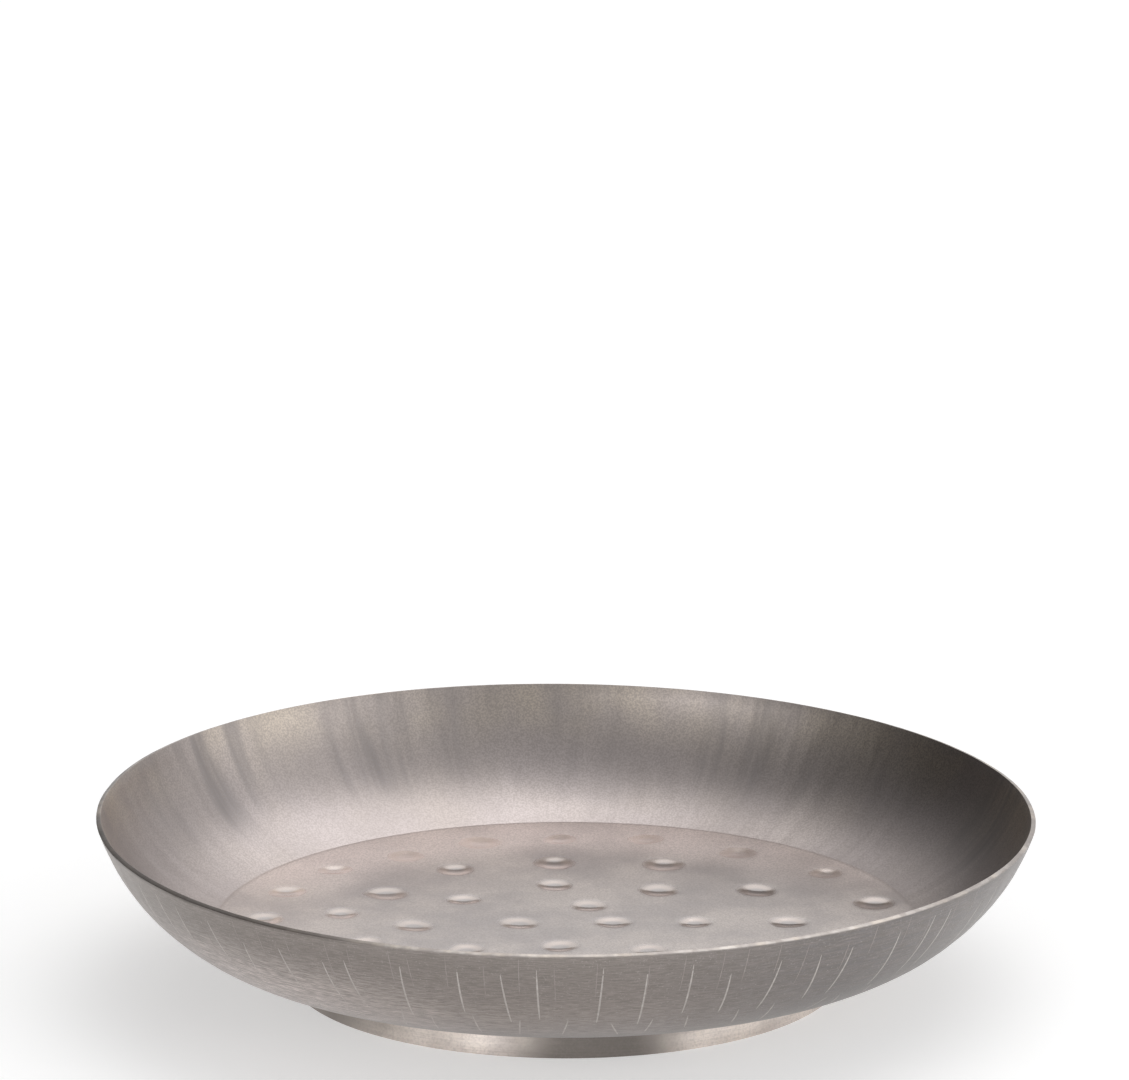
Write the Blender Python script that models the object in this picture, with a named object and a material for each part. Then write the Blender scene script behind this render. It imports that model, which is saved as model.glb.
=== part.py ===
"""Footed paten plate: a shallow dish of sheet metal on a low soldered foot ring.

The dish is one raised sheet: a flat floor with hammer marks, a crisp crease and a curved wall.
The foot ring is a bent strip, held under the floor by a fillet of solder on each side.

Frame: metres, +Z up, origin at the centre of the circle that the foot ring rests on.
"""
from math import cos, hypot, pi, radians, sin

import bmesh
import bpy
from mathutils import Vector
from mathutils.geometry import delaunay_2d_cdt

MM = 0.001

# Driving dimensions, in millimetres and degrees.
RIM_RADIUS = 80.0
RIM_HEIGHT = 28.4
RIM_LEAN = 69.7
SHEET_THICKNESS = 0.85
FLOOR_RADIUS = 60.3
FLOOR_HEIGHT = 8.6
CREASE_LEAN = 24.0
FOOT_RADIUS = 47.4
FOOT_THICKNESS = 1.2
FOOT_CHAMFER = 0.25
SOLDER_LEG = 1.4
JOINT_GAP = 0.3

# How far each end of the wall's two curves pulls its handle.
OUTER_RIM_PULL = 16.9
OUTER_TURN_PULL = 1.8
INNER_RIM_PULL = 16.3
INNER_CREASE_PULL = 2.6

# Where the underside starts to turn up into the wall.
TURN_RADIUS = FLOOR_RADIUS - 0.8
UNDERSIDE_HEIGHT = FLOOR_HEIGHT - SHEET_THICKNESS

# Hammer marks in the floor: their size, and their places in rows from the back to the front.
MARK_RADIUS = 4.3
MARK_DEPTH = 0.4
MARK_ROWS = (
    (50, (-1, 14)),
    (48, (-15,)),
    (42, (30,)),
    (40, (-28,)),
    (36, (-2,)),
    (35, (17,)),
    (32, (-40, -19)),
    (30, (45,)),
    (23, (-2,)),
    (20, (16, 33)),
    (19, (-48,)),
    (18, (-31,)),
    (14.5, (-17.5,)),
    (12.5, (53,)),
    (11, (4,)),
    (6.5, (-38.5,)),
    (3.5, (-51.5,)),
    (1.5, (8, 22, 38)),
    (1, (-8,)),
    (-0.5, (-26,)),
    (-10, (-50, -34, 45)),
    (-12, (-1,)),
    (-14, (-17, 14)),
    (-22, (31, 50)),
    (-27, (-41, -25, -9, 7)),
    (-34, (22, 38)),
    (-43, (-32, -17, -2, 14, 28)),
)

# Facets: round the turned parts, up the wall, and round one hammer mark.
ROUND_STEPS = 96
WALL_STEPS = 9
MARK_STEPS = 10
SHARP_ANGLE = radians(15.0)

# Colour, roughness and metallic value of each finish.
SATIN_SILVER = ((0.36, 0.33, 0.31), 0.32, 1.0)
DRAWN_SILVER = ((0.33, 0.31, 0.28), 0.36, 1.0)
SOLDER_SILVER = ((0.42, 0.40, 0.37), 0.42, 1.0)


def clear_scene():
    """Remove every object of the open scene."""
    for found in list(bpy.data.objects):
        bpy.data.objects.remove(found, do_unlink=True)


def make_material(name, finish):
    """A Principled material of one colour, roughness and metallic value."""
    colour, roughness, metallic = finish
    material = bpy.data.materials.new(name)
    material.use_nodes = True
    shader = material.node_tree.nodes["Principled BSDF"]
    shader.inputs["Base Color"].default_value = (*colour, 1.0)
    shader.inputs["Roughness"].default_value = roughness
    shader.inputs["Metallic"].default_value = metallic
    return material


def lean_vector(degrees):
    """The unit step outward and up along a line that leans this far from the level."""
    angle = radians(degrees)
    return Vector((cos(angle), sin(angle)))


def curve_points(start, start_handle, end_handle, end, steps):
    """Points of a cubic curve in the radius and height plane, both ends included."""
    points = []
    for step in range(steps + 1):
        t = step / steps
        s = 1.0 - t
        points.append(s**3 * start + 3 * s * s * t * start_handle + 3 * s * t * t * end_handle + t**3 * end)
    return points


def outer_wall_profile():
    """The outside of the wall, from the flat underside out and up to the rim's outer edge."""
    along_rim = lean_vector(RIM_LEAN)
    rim = Vector((RIM_RADIUS, RIM_HEIGHT - SHEET_THICKNESS * along_rim.x))
    turn = Vector((TURN_RADIUS, UNDERSIDE_HEIGHT))
    turn_handle = turn + Vector((OUTER_TURN_PULL, 0.0))
    return curve_points(turn, turn_handle, rim - OUTER_RIM_PULL * along_rim, rim, WALL_STEPS)


def inner_wall_profile():
    """The inside of the wall, from the rim's inner edge down to the crease of the floor."""
    along_rim = lean_vector(RIM_LEAN)
    rim = Vector((RIM_RADIUS - SHEET_THICKNESS * along_rim.y, RIM_HEIGHT))
    crease = Vector((FLOOR_RADIUS, FLOOR_HEIGHT))
    crease_handle = crease + INNER_CREASE_PULL * lean_vector(CREASE_LEAN)
    return curve_points(rim, rim - INNER_RIM_PULL * along_rim, crease_handle, crease, WALL_STEPS)


def circle_points(centre_x, centre_y, radius, steps):
    """Points round a circle, in millimetres."""
    points = []
    for step in range(steps):
        angle = 2.0 * pi * step / steps
        points.append((centre_x + radius * cos(angle), centre_y + radius * sin(angle)))
    return points


def mark_centres():
    """The middle of every hammer mark."""
    return [(x, y) for y, row in MARK_ROWS for x in row]


def floor_height(x, y):
    """Height of the floor's upper face at a point: level, and dished inside each hammer mark."""
    height = FLOOR_HEIGHT
    for mark_x, mark_y in mark_centres():
        reach = hypot(x - mark_x, y - mark_y) / MARK_RADIUS
        if reach < 1.0:
            height -= MARK_DEPTH * (1.0 - reach * reach) ** 2
    return height


def add_ring(bm, radius, height):
    """A ring of vertices at one radius and height."""
    return [bm.verts.new((x * MM, y * MM, height * MM)) for x, y in circle_points(0, 0, radius, ROUND_STEPS)]


def bridge(bm, first, second):
    """A band of four-sided faces between two rings."""
    for step in range(ROUND_STEPS):
        following = (step + 1) % ROUND_STEPS
        bm.faces.new((first[step], first[following], second[following], second[step]))


def fill_hammered_floor(bm, crease_ring):
    """Close the floor inside the crease with a sheet that has a dish at every hammer mark."""
    points = [Vector((corner.co.x / MM, corner.co.y / MM)) for corner in crease_ring]
    outline = list(range(len(points)))
    for mark_x, mark_y in mark_centres():
        points.append(Vector((mark_x, mark_y)))
        for share in (0.5, 1.0):
            circle = circle_points(mark_x, mark_y, share * MARK_RADIUS, MARK_STEPS)
            points.extend(Vector(point) for point in circle)
    places, _, faces, sources, _, _ = delaunay_2d_cdt(points, [], [outline], 1, 1e-6)
    corners = []
    for place, source in zip(places, sources):
        if source[0] < len(crease_ring):
            corners.append(crease_ring[source[0]])
        else:
            corners.append(bm.verts.new((place.x * MM, place.y * MM, floor_height(*place) * MM)))
    for face in faces:
        bm.faces.new([corners[index] for index in face])


def finish_object(bm, name, material, parent):
    """Turn a closed bmesh into a named object with its material, shaded smooth between sharp edges."""
    bmesh.ops.recalc_face_normals(bm, faces=bm.faces)
    mesh = bpy.data.meshes.new(name)
    bm.to_mesh(mesh)
    bm.free()
    mesh.materials.append(material)
    mesh.shade_smooth()
    mesh.set_sharp_from_angle(angle=SHARP_ANGLE)
    made = bpy.data.objects.new(name, mesh)
    made.parent = parent
    bpy.context.scene.collection.objects.link(made)
    return made


def make_dish(material, parent):
    """The dish: one sheet with a flat underside, a curved wall, a rim and a hammered floor."""
    bm = bmesh.new()
    profile = outer_wall_profile() + inner_wall_profile()
    rings = [add_ring(bm, point.x, point.y) for point in profile]
    for first, second in zip(rings, rings[1:]):
        bridge(bm, first, second)
    bm.faces.new(rings[0])
    fill_hammered_floor(bm, rings[-1])
    return finish_object(bm, "dish", material, parent)


def make_turned_ring(name, profile, material, parent):
    """A closed ring with this outline of radius and height all the way round."""
    bm = bmesh.new()
    rings = [add_ring(bm, radius, height) for radius, height in profile]
    for first, second in zip(rings, rings[1:] + rings[:1]):
        bridge(bm, first, second)
    return finish_object(bm, name, material, parent)


def make_foot_ring(material, parent):
    """The foot: a strip bent into a ring, its lower edges eased, ending just under the floor."""
    inner = FOOT_RADIUS - FOOT_THICKNESS
    top = UNDERSIDE_HEIGHT - JOINT_GAP
    profile = (
        (inner + FOOT_CHAMFER, 0.0),
        (FOOT_RADIUS - FOOT_CHAMFER, 0.0),
        (FOOT_RADIUS, FOOT_CHAMFER),
        (FOOT_RADIUS, top),
        (inner, top),
        (inner, FOOT_CHAMFER),
    )
    return make_turned_ring("foot_ring", profile, material, parent)


def make_solder_fillet(name, wall_radius, outward, material, parent):
    """The solder in the corner between the foot ring's wall and the underside of the floor."""
    near = wall_radius + outward * JOINT_GAP
    middle = near + outward * 0.3 * SOLDER_LEG
    far = near + outward * SOLDER_LEG
    top = UNDERSIDE_HEIGHT - JOINT_GAP
    profile = ((near, top - SOLDER_LEG), (middle, top - 0.3 * SOLDER_LEG), (far, top), (near, top))
    return make_turned_ring(name, profile, material, parent)


def main():
    """Build the whole plate under one empty."""
    clear_scene()
    plate = bpy.data.objects.new("paten_plate", None)
    bpy.context.scene.collection.objects.link(plate)
    make_dish(make_material("satin_silver", SATIN_SILVER), plate)
    make_foot_ring(make_material("drawn_silver", DRAWN_SILVER), plate)
    solder = make_material("solder_silver", SOLDER_SILVER)
    make_solder_fillet("solder_fillet_outer", FOOT_RADIUS, 1.0, solder, plate)
    make_solder_fillet("solder_fillet_inner", FOOT_RADIUS - FOOT_THICKNESS, -1.0, solder, plate)


main()
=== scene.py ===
"""Looks of a footed paten plate: a raised and hammered dish of satin silver on a soldered foot ring."""
from math import cos, pi, radians, sin

import bmesh
import bpy
from bpy.props import FloatProperty, FloatVectorProperty, IntProperty, PointerProperty
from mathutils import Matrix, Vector


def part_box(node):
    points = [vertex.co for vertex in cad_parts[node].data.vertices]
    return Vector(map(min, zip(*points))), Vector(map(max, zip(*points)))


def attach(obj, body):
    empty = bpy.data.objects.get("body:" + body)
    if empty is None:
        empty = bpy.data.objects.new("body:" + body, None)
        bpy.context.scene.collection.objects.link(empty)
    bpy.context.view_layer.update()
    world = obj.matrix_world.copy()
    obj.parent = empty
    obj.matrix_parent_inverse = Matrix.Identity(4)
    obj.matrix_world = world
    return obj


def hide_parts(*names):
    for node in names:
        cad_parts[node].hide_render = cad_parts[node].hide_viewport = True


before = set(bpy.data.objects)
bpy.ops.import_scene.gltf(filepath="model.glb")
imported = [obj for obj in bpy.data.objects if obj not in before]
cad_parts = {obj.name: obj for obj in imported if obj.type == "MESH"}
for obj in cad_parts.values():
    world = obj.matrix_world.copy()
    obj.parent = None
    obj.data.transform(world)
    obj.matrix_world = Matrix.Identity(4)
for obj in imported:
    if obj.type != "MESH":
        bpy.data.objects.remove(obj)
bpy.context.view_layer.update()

bl_info = {
    "name": "Paten Plate",
    "version": (1, 0, 0),
    "blender": (4, 5, 0),
    "location": "View3D > Sidebar > Paten",
    "description": "Makes the visible dish, chased strokes, foot ring, solder and stage of a paten plate",
    "category": "Add Mesh",
}

MM = 0.001
BODY = "root"

# What the frame says: the boxes of the plate's pieces, before any look is made.
DISH_LOW, DISH_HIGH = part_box("dish")
_, FOOT_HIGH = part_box("foot_ring")
RIM_RADIUS = DISH_HIGH[0]
RIM_HEIGHT = DISH_HIGH[2]
UNDERSIDE_HEIGHT = DISH_LOW[2]
FOOT_RADIUS = FOOT_HIGH[0]

# Hammer marks in the floor, in millimetres: rows from the back to the front, as on the solid dish.
MARK_ROWS = (
    (50, (-1, 14)),
    (48, (-15,)),
    (42, (30,)),
    (40, (-28,)),
    (36, (-2,)),
    (35, (17,)),
    (32, (-40, -19)),
    (30, (45,)),
    (23, (-2,)),
    (20, (16, 33)),
    (19, (-48,)),
    (18, (-31,)),
    (14.5, (-17.5,)),
    (12.5, (53,)),
    (11, (4,)),
    (6.5, (-38.5,)),
    (3.5, (-51.5,)),
    (1.5, (8, 22, 38)),
    (1, (-8,)),
    (-0.5, (-26,)),
    (-10, (-50, -34, 45)),
    (-12, (-1,)),
    (-14, (-17, 14)),
    (-22, (31, 50)),
    (-27, (-41, -25, -9, 7)),
    (-34, (22, 38)),
    (-43, (-32, -17, -2, 14, 28)),
)

# Regions of the dish's outline, kept on its mesh as the number "part".
PART_OUTSIDE = 0.0
PART_RIM = 1.0
PART_INSIDE = 2.0
PART_FLOOR = 3.0
PART_UNDERSIDE = 4.0
PART_TOLERANCE = 0.6


# ---------------------------------------------------------------- settings


def length(name, description, default):
    """A length property in metres."""
    return FloatProperty(name=name, description=description, default=default, unit="LENGTH", precision=5)


def angle(name, description, degrees):
    """An angle property, given in degrees."""
    return FloatProperty(name=name, description=description, default=radians(degrees), subtype="ANGLE")


def number(name, description, default):
    """A plain number property that is never negative."""
    return FloatProperty(name=name, description=description, default=default, min=0.0)


def whole_number(name, description, default):
    """A property that counts something."""
    return IntProperty(name=name, description=description, default=default)


def colour(name, description, default):
    """A linear colour property."""
    return FloatVectorProperty(
        name=name, description=description, default=default, size=3, min=0.0, max=1.0, subtype="COLOR"
    )


class DishSizes(bpy.types.PropertyGroup):
    """Sizes of the raised dish."""

    sheet: length("Sheet", "Thickness of the sheet metal", 0.85 * MM)
    floor_radius: length("Floor radius", "Radius of the crease round the floor", 60.3 * MM)
    rim_lean: angle("Rim lean", "Angle of the wall at the rim, from the level", 69.7)
    crease_lean: angle("Crease lean", "Angle of the wall where it leaves the floor", 24.0)
    arris: length("Arris", "Rounding of the two edges of the rim", 0.13 * MM)
    rim_tilt: length("Rim tilt", "How far the left of the rim stands above its true height", 0.45 * MM)
    rim_saddle: length("Rim saddle", "How far the rim waves up and down twice round", 0.22 * MM)
    flute: length("Flute depth", "Depth of the soft flutes that the raising left in the wall", 0.14 * MM)
    uneven: length("Unevenness", "Waviness of the floor between the hammer marks", 0.05 * MM)
    round_steps: whole_number("Steps round", "Facets round the dish, a multiple of 8", 640)
    wall_steps: whole_number("Steps up", "Facets up each side of the wall", 26)


class MarkSizes(bpy.types.PropertyGroup):
    """Sizes of the hammer marks in the floor."""

    reach: length("Reach", "Radius of a hammer mark", 4.1 * MM)
    depth: length("Depth", "Depth of a hammer mark", 0.36 * MM)
    lip: length("Lip", "Height of the metal pushed up round a mark", 0.003 * MM)
    softness: number("Softness", "How softly a mark runs out at its edge", 2.3)
    variety: number("Variety", "How much the marks differ in size", 0.13)
    seed: whole_number("Seed", "Choice of the random differences between marks", 7)


class StrokeSizes(bpy.types.PropertyGroup):
    """Sizes of the chased strokes outside the wall."""

    width: length("Width", "Width of a stroke", 0.36 * MM)
    proud: length("Proud", "How far a stroke's burr stands above the wall", 0.02 * MM)
    steps: whole_number("Steps", "Points along one stroke", 18)


class FootSizes(bpy.types.PropertyGroup):
    """Sizes of the foot ring and its solder."""

    strip: length("Strip", "Thickness of the foot ring's strip", 1.2 * MM)
    edge: length("Edge", "Rounding of the foot ring's lower edges", 0.22 * MM)
    flare: length("Flare", "How far the ring leans in towards its top", 0.85 * MM)
    wander: length("Wander", "How far the ring strays from true", 0.12 * MM)
    solder: length("Solder", "Width of a solder fillet", 1.5 * MM)
    round_steps: whole_number("Steps round", "Facets round the ring", 384)


class MetalColours(bpy.types.PropertyGroup):
    """Colours of the metal, of its ageing, and of the light and shade painted onto it."""

    clean: colour("Clean", "Satin metal where it is handled", (0.50, 0.446, 0.437))
    grey: colour("Grey", "Metal that has gone dull", (0.33, 0.292, 0.276))
    warm: colour("Warm", "Straw coloured tarnish", (0.63, 0.553, 0.475))
    # Partly a painted highlight in the hammer marks, partly pink tarnish.
    rose: colour("Rose", "Pinkish lips of the hammer marks", (0.80, 0.69, 0.63))
    # On the left of the outer wall this colour is a painted highlight.
    rosy: colour("Rosy", "Rosy bloom at the floor's back and the wall's left", (0.84, 0.755, 0.725))
    cool: colour("Cool", "Cool tint in the clouds of the floor", (0.345, 0.345, 0.335))
    # A painted shadow at the front left of the rim and just under it on the outer wall.
    soot: colour("Soot", "Dirt caught on and close under the left of the rim", (0.07, 0.058, 0.05))
    # On the right of the outer wall this colour is painted shade.
    slate: colour("Slate", "Cool grey of the right of the wall and of its streaks", (0.215, 0.204, 0.207))
    # Also used for a painted highlight along the outer wall's lowest edge.
    cut: colour("Cut", "Bright metal of a fresh cut", (0.68, 0.64, 0.61))
    solder: colour("Solder", "Dull solder", (0.46, 0.42, 0.40))
    polished: colour("Polished", "Smoother metal of the hammered floor", (0.53, 0.487, 0.478))
    struck: colour("Struck", "Metal burnished by the face of the hammer", (0.53, 0.49, 0.478))
    rim: colour("Rim", "Worn metal of the rim's edge", (0.36, 0.33, 0.31))
    # Painted shade high on the outer wall and on the left of the foot ring, a painted dark reflection at the
    # front of the foot ring, and the dark threads of the outer brushing.
    joint: colour("Joint", "Dull metal at the foot's joint and high on the wall", (0.20, 0.182, 0.165))
    strip: colour("Strip", "Brighter metal of the foot and of the floor's pale clouds", (0.90, 0.815, 0.75))


class StudioSizes(bpy.types.PropertyGroup):
    """The stage: camera, floor and lights."""

    distance: length("Camera distance", "From the camera to the point it looks at", 2.0)
    elevation: angle("Camera elevation", "Angle of the camera's line above the level", 15.55)
    look_across: length("Look across", "Sideways place of the point looked at", -0.24 * MM)
    look_height: length("Look height", "Height of the point looked at", 76.8 * MM)
    lens: FloatProperty(name="Lens", description="Focal length", default=376.8, subtype="DISTANCE_CAMERA")
    floor_size: length("Floor size", "Side of the square floor", 14.0)
    floor_colour: colour("Floor colour", "Pale floor", (0.72, 0.72, 0.72))
    floor_glow: number("Floor glow", "Light of the floor itself, as a light table gives", 0.45)
    sky: number("Sky", "Strength of the soft light all round", 1.0)
    key: number("Key", "Power of the overhead soft light in watts", 1.6)


SETTINGS = {
    "paten_dish": DishSizes,
    "paten_marks": MarkSizes,
    "paten_strokes": StrokeSizes,
    "paten_foot": FootSizes,
    "paten_colours": MetalColours,
    "paten_studio": StudioSizes,
}


# ---------------------------------------------------------------- node tools


def feed(tree, socket, value):
    """Link a socket to an output, or set it to a plain value; a colour may leave out its alpha."""
    if isinstance(value, bpy.types.NodeSocket):
        tree.links.new(value, socket)
    elif socket.type == "RGBA":
        socket.default_value = (*value[:3], 1.0)
    else:
        socket.default_value = value


def add_node(tree, kind, links=None, **settings):
    """Add a node, set its options, and set or link its inputs by name or by number."""
    made = tree.nodes.new(kind)
    for option, value in settings.items():
        setattr(made, option, value)
    for key, value in (links or {}).items():
        feed(tree, made.inputs[key], value)
    return made


def feed_shown(tree, made, values):
    """Set or link the inputs that a node shows, in order, and give the first output that it shows."""
    shown = [socket for socket in made.inputs if socket.enabled]
    for socket, value in zip(shown, values):
        feed(tree, socket, value)
    return [socket for socket in made.outputs if socket.enabled][0]


def calc(tree, operation, *terms, clamp=False):
    """The result of a Math node."""
    made = add_node(tree, "ShaderNodeMath", dict(enumerate(terms)), operation=operation, use_clamp=clamp)
    return made.outputs[0]


def times(tree, first, *others):
    """The product of values."""
    for other in others:
        first = calc(tree, "MULTIPLY", first, other)
    return first


def plus(tree, first, *others):
    """The sum of values."""
    for other in others:
        first = calc(tree, "ADD", first, other)
    return first


def minus(tree, first, second):
    """The difference of two values."""
    return calc(tree, "SUBTRACT", first, second)


def over(tree, first, second):
    """One value divided by another."""
    return calc(tree, "DIVIDE", first, second)


def times_plus(tree, value, factor, extra, clamp=False):
    """A value times a factor, plus an extra value."""
    return calc(tree, "MULTIPLY_ADD", value, factor, extra, clamp=clamp)


def vector_calc(tree, operation, *terms):
    """The result of a Vector Math node: a number where the operation gives one."""
    return feed_shown(tree, add_node(tree, "ShaderNodeVectorMath", operation=operation), terms)


def remap(tree, value, low, high, to_low=0.0, to_high=1.0, smooth=True):
    """Carry a value from one range to another, eased at both ends."""
    made = add_node(
        tree, "ShaderNodeMapRange",
        {"Value": value, "From Min": low, "From Max": high, "To Min": to_low, "To Max": to_high},
        interpolation_type="SMOOTHSTEP" if smooth else "LINEAR",
    )
    return made.outputs["Result"]


def combine(tree, x, y, z):
    """A vector from three numbers."""
    return add_node(tree, "ShaderNodeCombineXYZ", {"X": x, "Y": y, "Z": z}).outputs["Vector"]


def separate(tree, vector):
    """The three numbers of a vector."""
    return add_node(tree, "ShaderNodeSeparateXYZ", {"Vector": vector}).outputs


def turned(tree, vector, angle):
    """A vector turned about the upright axis."""
    links = {"Vector": vector, "Angle": angle}
    return add_node(tree, "ShaderNodeVectorRotate", links, rotation_type="Z_AXIS").outputs["Vector"]


def noise(tree, vector, scale, detail=2.0, roughness=0.5):
    """Noise between 0 and 1."""
    links = {"Vector": vector, "Scale": scale, "Detail": detail, "Roughness": roughness}
    return add_node(tree, "ShaderNodeTexNoise", links).outputs[0]


def polar(tree, place):
    """The distance from the upright axis, the height, and the two parts of the way outward."""
    x, y, z = separate(tree, place)
    radius = vector_calc(tree, "LENGTH", combine(tree, x, y, 0.0))
    flat = calc(tree, "MAXIMUM", radius, 0.5 * MM)
    return radius, z, over(tree, x, flat), over(tree, y, flat)


SOCKET_KINDS = {
    "float": "NodeSocketFloat",
    "int": "NodeSocketInt",
    "vector": "NodeSocketVector",
    "colour": "NodeSocketColor",
    "geometry": "NodeSocketGeometry",
    "object": "NodeSocketObject",
    "material": "NodeSocketMaterial",
}


def new_group(name, tree_type, inputs, outputs):
    """A node group with named inputs and outputs, listed by kind, and the sockets inside it."""
    tree = bpy.data.node_groups.new(name, tree_type)
    for in_out, sockets in (("INPUT", inputs), ("OUTPUT", outputs)):
        for kind, labels in sockets.items():
            for label in labels:
                tree.interface.new_socket(label, in_out=in_out, socket_type=SOCKET_KINDS[kind])
    given = tree.nodes.new("NodeGroupInput").outputs
    result = tree.nodes.new("NodeGroupOutput").inputs
    return tree, given, result


def place_group(tree, group, links):
    """Use a node group inside another tree of its type."""
    made = tree.nodes.new(tree.bl_idname.replace("NodeTree", "NodeGroup"))
    made.node_tree = group
    for key, value in links.items():
        feed(tree, made.inputs[key], value)
    return made.outputs


# ---------------------------------------------------------------- outlines


# How far the underside's edge lies inside the crease, and how far the wall's curves run on at their ends.
UNDERSIDE_INSET = 0.8 * MM
UNDERSIDE_RUN = 1.8 * MM
CREASE_RUN = 2.6 * MM
RIM_RUN_OUTSIDE = 16.9 * MM
RIM_RUN_INSIDE = 16.3 * MM


def lean_vector(angle):
    """The unit step outward and up along a line that leans this far from the level."""
    return Vector((cos(angle), sin(angle)))


def curve_points(start, start_handle, end_handle, end, steps):
    """Points of a cubic curve in the radius and height plane, both ends included."""
    points = []
    for step in range(steps + 1):
        t = step / steps
        s = 1.0 - t
        points.append(s**3 * start + 3 * s * s * t * start_handle + 3 * s * t * t * end_handle + t**3 * end)
    return points


def outer_wall_outline(sizes):
    """The outside of the wall, from the flat underside up to just under the rim's outer edge."""
    along_rim = lean_vector(sizes.rim_lean)
    rim = Vector((RIM_RADIUS, RIM_HEIGHT - sizes.sheet * along_rim.x))
    turn = Vector((sizes.floor_radius - UNDERSIDE_INSET, UNDERSIDE_HEIGHT))
    turn_handle = turn + Vector((UNDERSIDE_RUN, 0.0))
    end = rim - sizes.arris * along_rim
    return curve_points(turn, turn_handle, rim - RIM_RUN_OUTSIDE * along_rim, end, sizes.wall_steps)


def inner_wall_outline(sizes):
    """The inside of the wall, from just under the rim's inner edge down to the crease."""
    along_rim = lean_vector(sizes.rim_lean)
    rim = Vector((RIM_RADIUS - sizes.sheet * along_rim.y, RIM_HEIGHT))
    crease = Vector((sizes.floor_radius, UNDERSIDE_HEIGHT + sizes.sheet))
    crease_handle = crease + CREASE_RUN * lean_vector(sizes.crease_lean)
    start = rim - sizes.arris * along_rim
    return curve_points(start, rim - RIM_RUN_INSIDE * along_rim, crease_handle, crease, sizes.wall_steps)


def rounded_corner(start, corner, end, steps):
    """Points of a rounded corner between its two ends, ends left out."""
    points = []
    for step in range(1, steps):
        t = step / steps
        points.append((1 - t) ** 2 * start + 2 * t * (1 - t) * corner + t * t * end)
    return points


def dish_outline(sizes):
    """The dish's outline as (radius, height, part), from the underside over the rim to the crease."""
    outer = outer_wall_outline(sizes)
    inner = inner_wall_outline(sizes)
    along_rim = lean_vector(sizes.rim_lean)
    across_rim = Vector((-along_rim.y, along_rim.x))
    outer_corner = outer[-1] + sizes.arris * along_rim
    inner_corner = inner[0] + sizes.arris * along_rim
    outer_land = outer_corner + sizes.arris * across_rim
    inner_land = inner_corner - sizes.arris * across_rim
    rim = rounded_corner(outer[-1], outer_corner, outer_land, 3) + [outer_land, inner_land]
    rim += rounded_corner(inner_land, inner_corner, inner[0], 3)
    outline = [(point, PART_OUTSIDE) for point in outer]
    outline += [(point, PART_RIM) for point in rim]
    outline += [(point, PART_INSIDE) for point in inner]
    return outline


def add_object(name, data):
    """Put a new object into the scene."""
    made = bpy.data.objects.new(name, data)
    bpy.context.scene.collection.objects.link(made)
    return made


def points_object(name, points, edges=()):
    """An object that holds points, with edges between some of them."""
    mesh = bpy.data.meshes.new(name)
    mesh.from_pydata(points, edges, [])
    return add_object(name, mesh)


def outline_object(name, outline):
    """An object that holds an outline in the X and Z plane, with the part of each point."""
    edges = [(step, step + 1) for step in range(len(outline) - 1)]
    made = points_object(name, [(point.x, 0.0, point.y) for point, _ in outline], edges)
    part = made.data.attributes.new("part", "FLOAT", "POINT")
    part.data.foreach_set("value", [value for _, value in outline])
    return made


# ---------------------------------------------------------------- geometry nodes


def store(tree, geometry, name, value, kind="FLOAT"):
    """Keep a value on the points of a geometry under a name."""
    made = add_node(
        tree, "GeometryNodeStoreNamedAttribute", {"Geometry": geometry, "Name": name, "Value": value},
        data_type=kind, domain="POINT",
    )
    return made.outputs["Geometry"]


def named(tree, name, kind="FLOAT"):
    """Read a value that was kept on the points under a name."""
    made = add_node(tree, "GeometryNodeInputNamedAttribute", {"Name": name}, data_type=kind)
    return made.outputs["Attribute"]


def sample(tree, geometry, value, index, kind):
    """The value of one point of a geometry."""
    made = add_node(
        tree, "GeometryNodeSampleIndex", {"Geometry": geometry, "Value": value, "Index": index},
        data_type=kind, domain="POINT",
    )
    return made.outputs["Value"]


def position(tree):
    """Where each point is."""
    return tree.nodes.new("GeometryNodeInputPosition").outputs[0]


def move(tree, geometry, **links):
    """Set the Position of every point, or shift it by an Offset."""
    return add_node(tree, "GeometryNodeSetPosition", {"Geometry": geometry, **links}).outputs[0]


def merge(tree, geometry, distance):
    """Join the points that lie closer together than a distance."""
    links = {"Geometry": geometry, "Distance": distance}
    return add_node(tree, "GeometryNodeMergeByDistance", links).outputs[0]


def realize(tree, geometry):
    """Make instances real."""
    return add_node(tree, "GeometryNodeRealizeInstances", {"Geometry": geometry}).outputs[0]


def chance(tree, low, high, number, seed, salt):
    """A random value for each number, with its own salt for each use."""
    made = add_node(tree, "FunctionNodeRandomValue", data_type="FLOAT")
    return feed_shown(tree, made, (low, high, number, plus(tree, seed, salt)))


def set_material(tree, geometry, material, selection=None):
    """Give a geometry, or its selected faces, a material."""
    links = {"Geometry": geometry, "Material": material}
    if selection is not None:
        links["Selection"] = selection
    return add_node(tree, "GeometryNodeSetMaterial", links).outputs[0]


def part_is(tree, part):
    """True on the faces of one part of the outline."""
    links = {"A": named(tree, "part"), "B": part, "Epsilon": PART_TOLERANCE}
    return add_node(tree, "FunctionNodeCompare", links, operation="EQUAL").outputs[0]


# Points closer together than this are one point, on the dish and on the finer rings.
SAME_SPOT = 0.01 * MM
SAME_SPOT_ON_RING = 0.002 * MM

# A hammer mark: how far out of round it may be, how ragged its edge is, and where its lip stands.
MARK_ROUNDNESS = 0.86
RAGGED_SCALE = 260.0
RAGGED_SHARE = 0.34
LIP_AT = 0.9
LIP_WIDTH = 0.2

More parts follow.
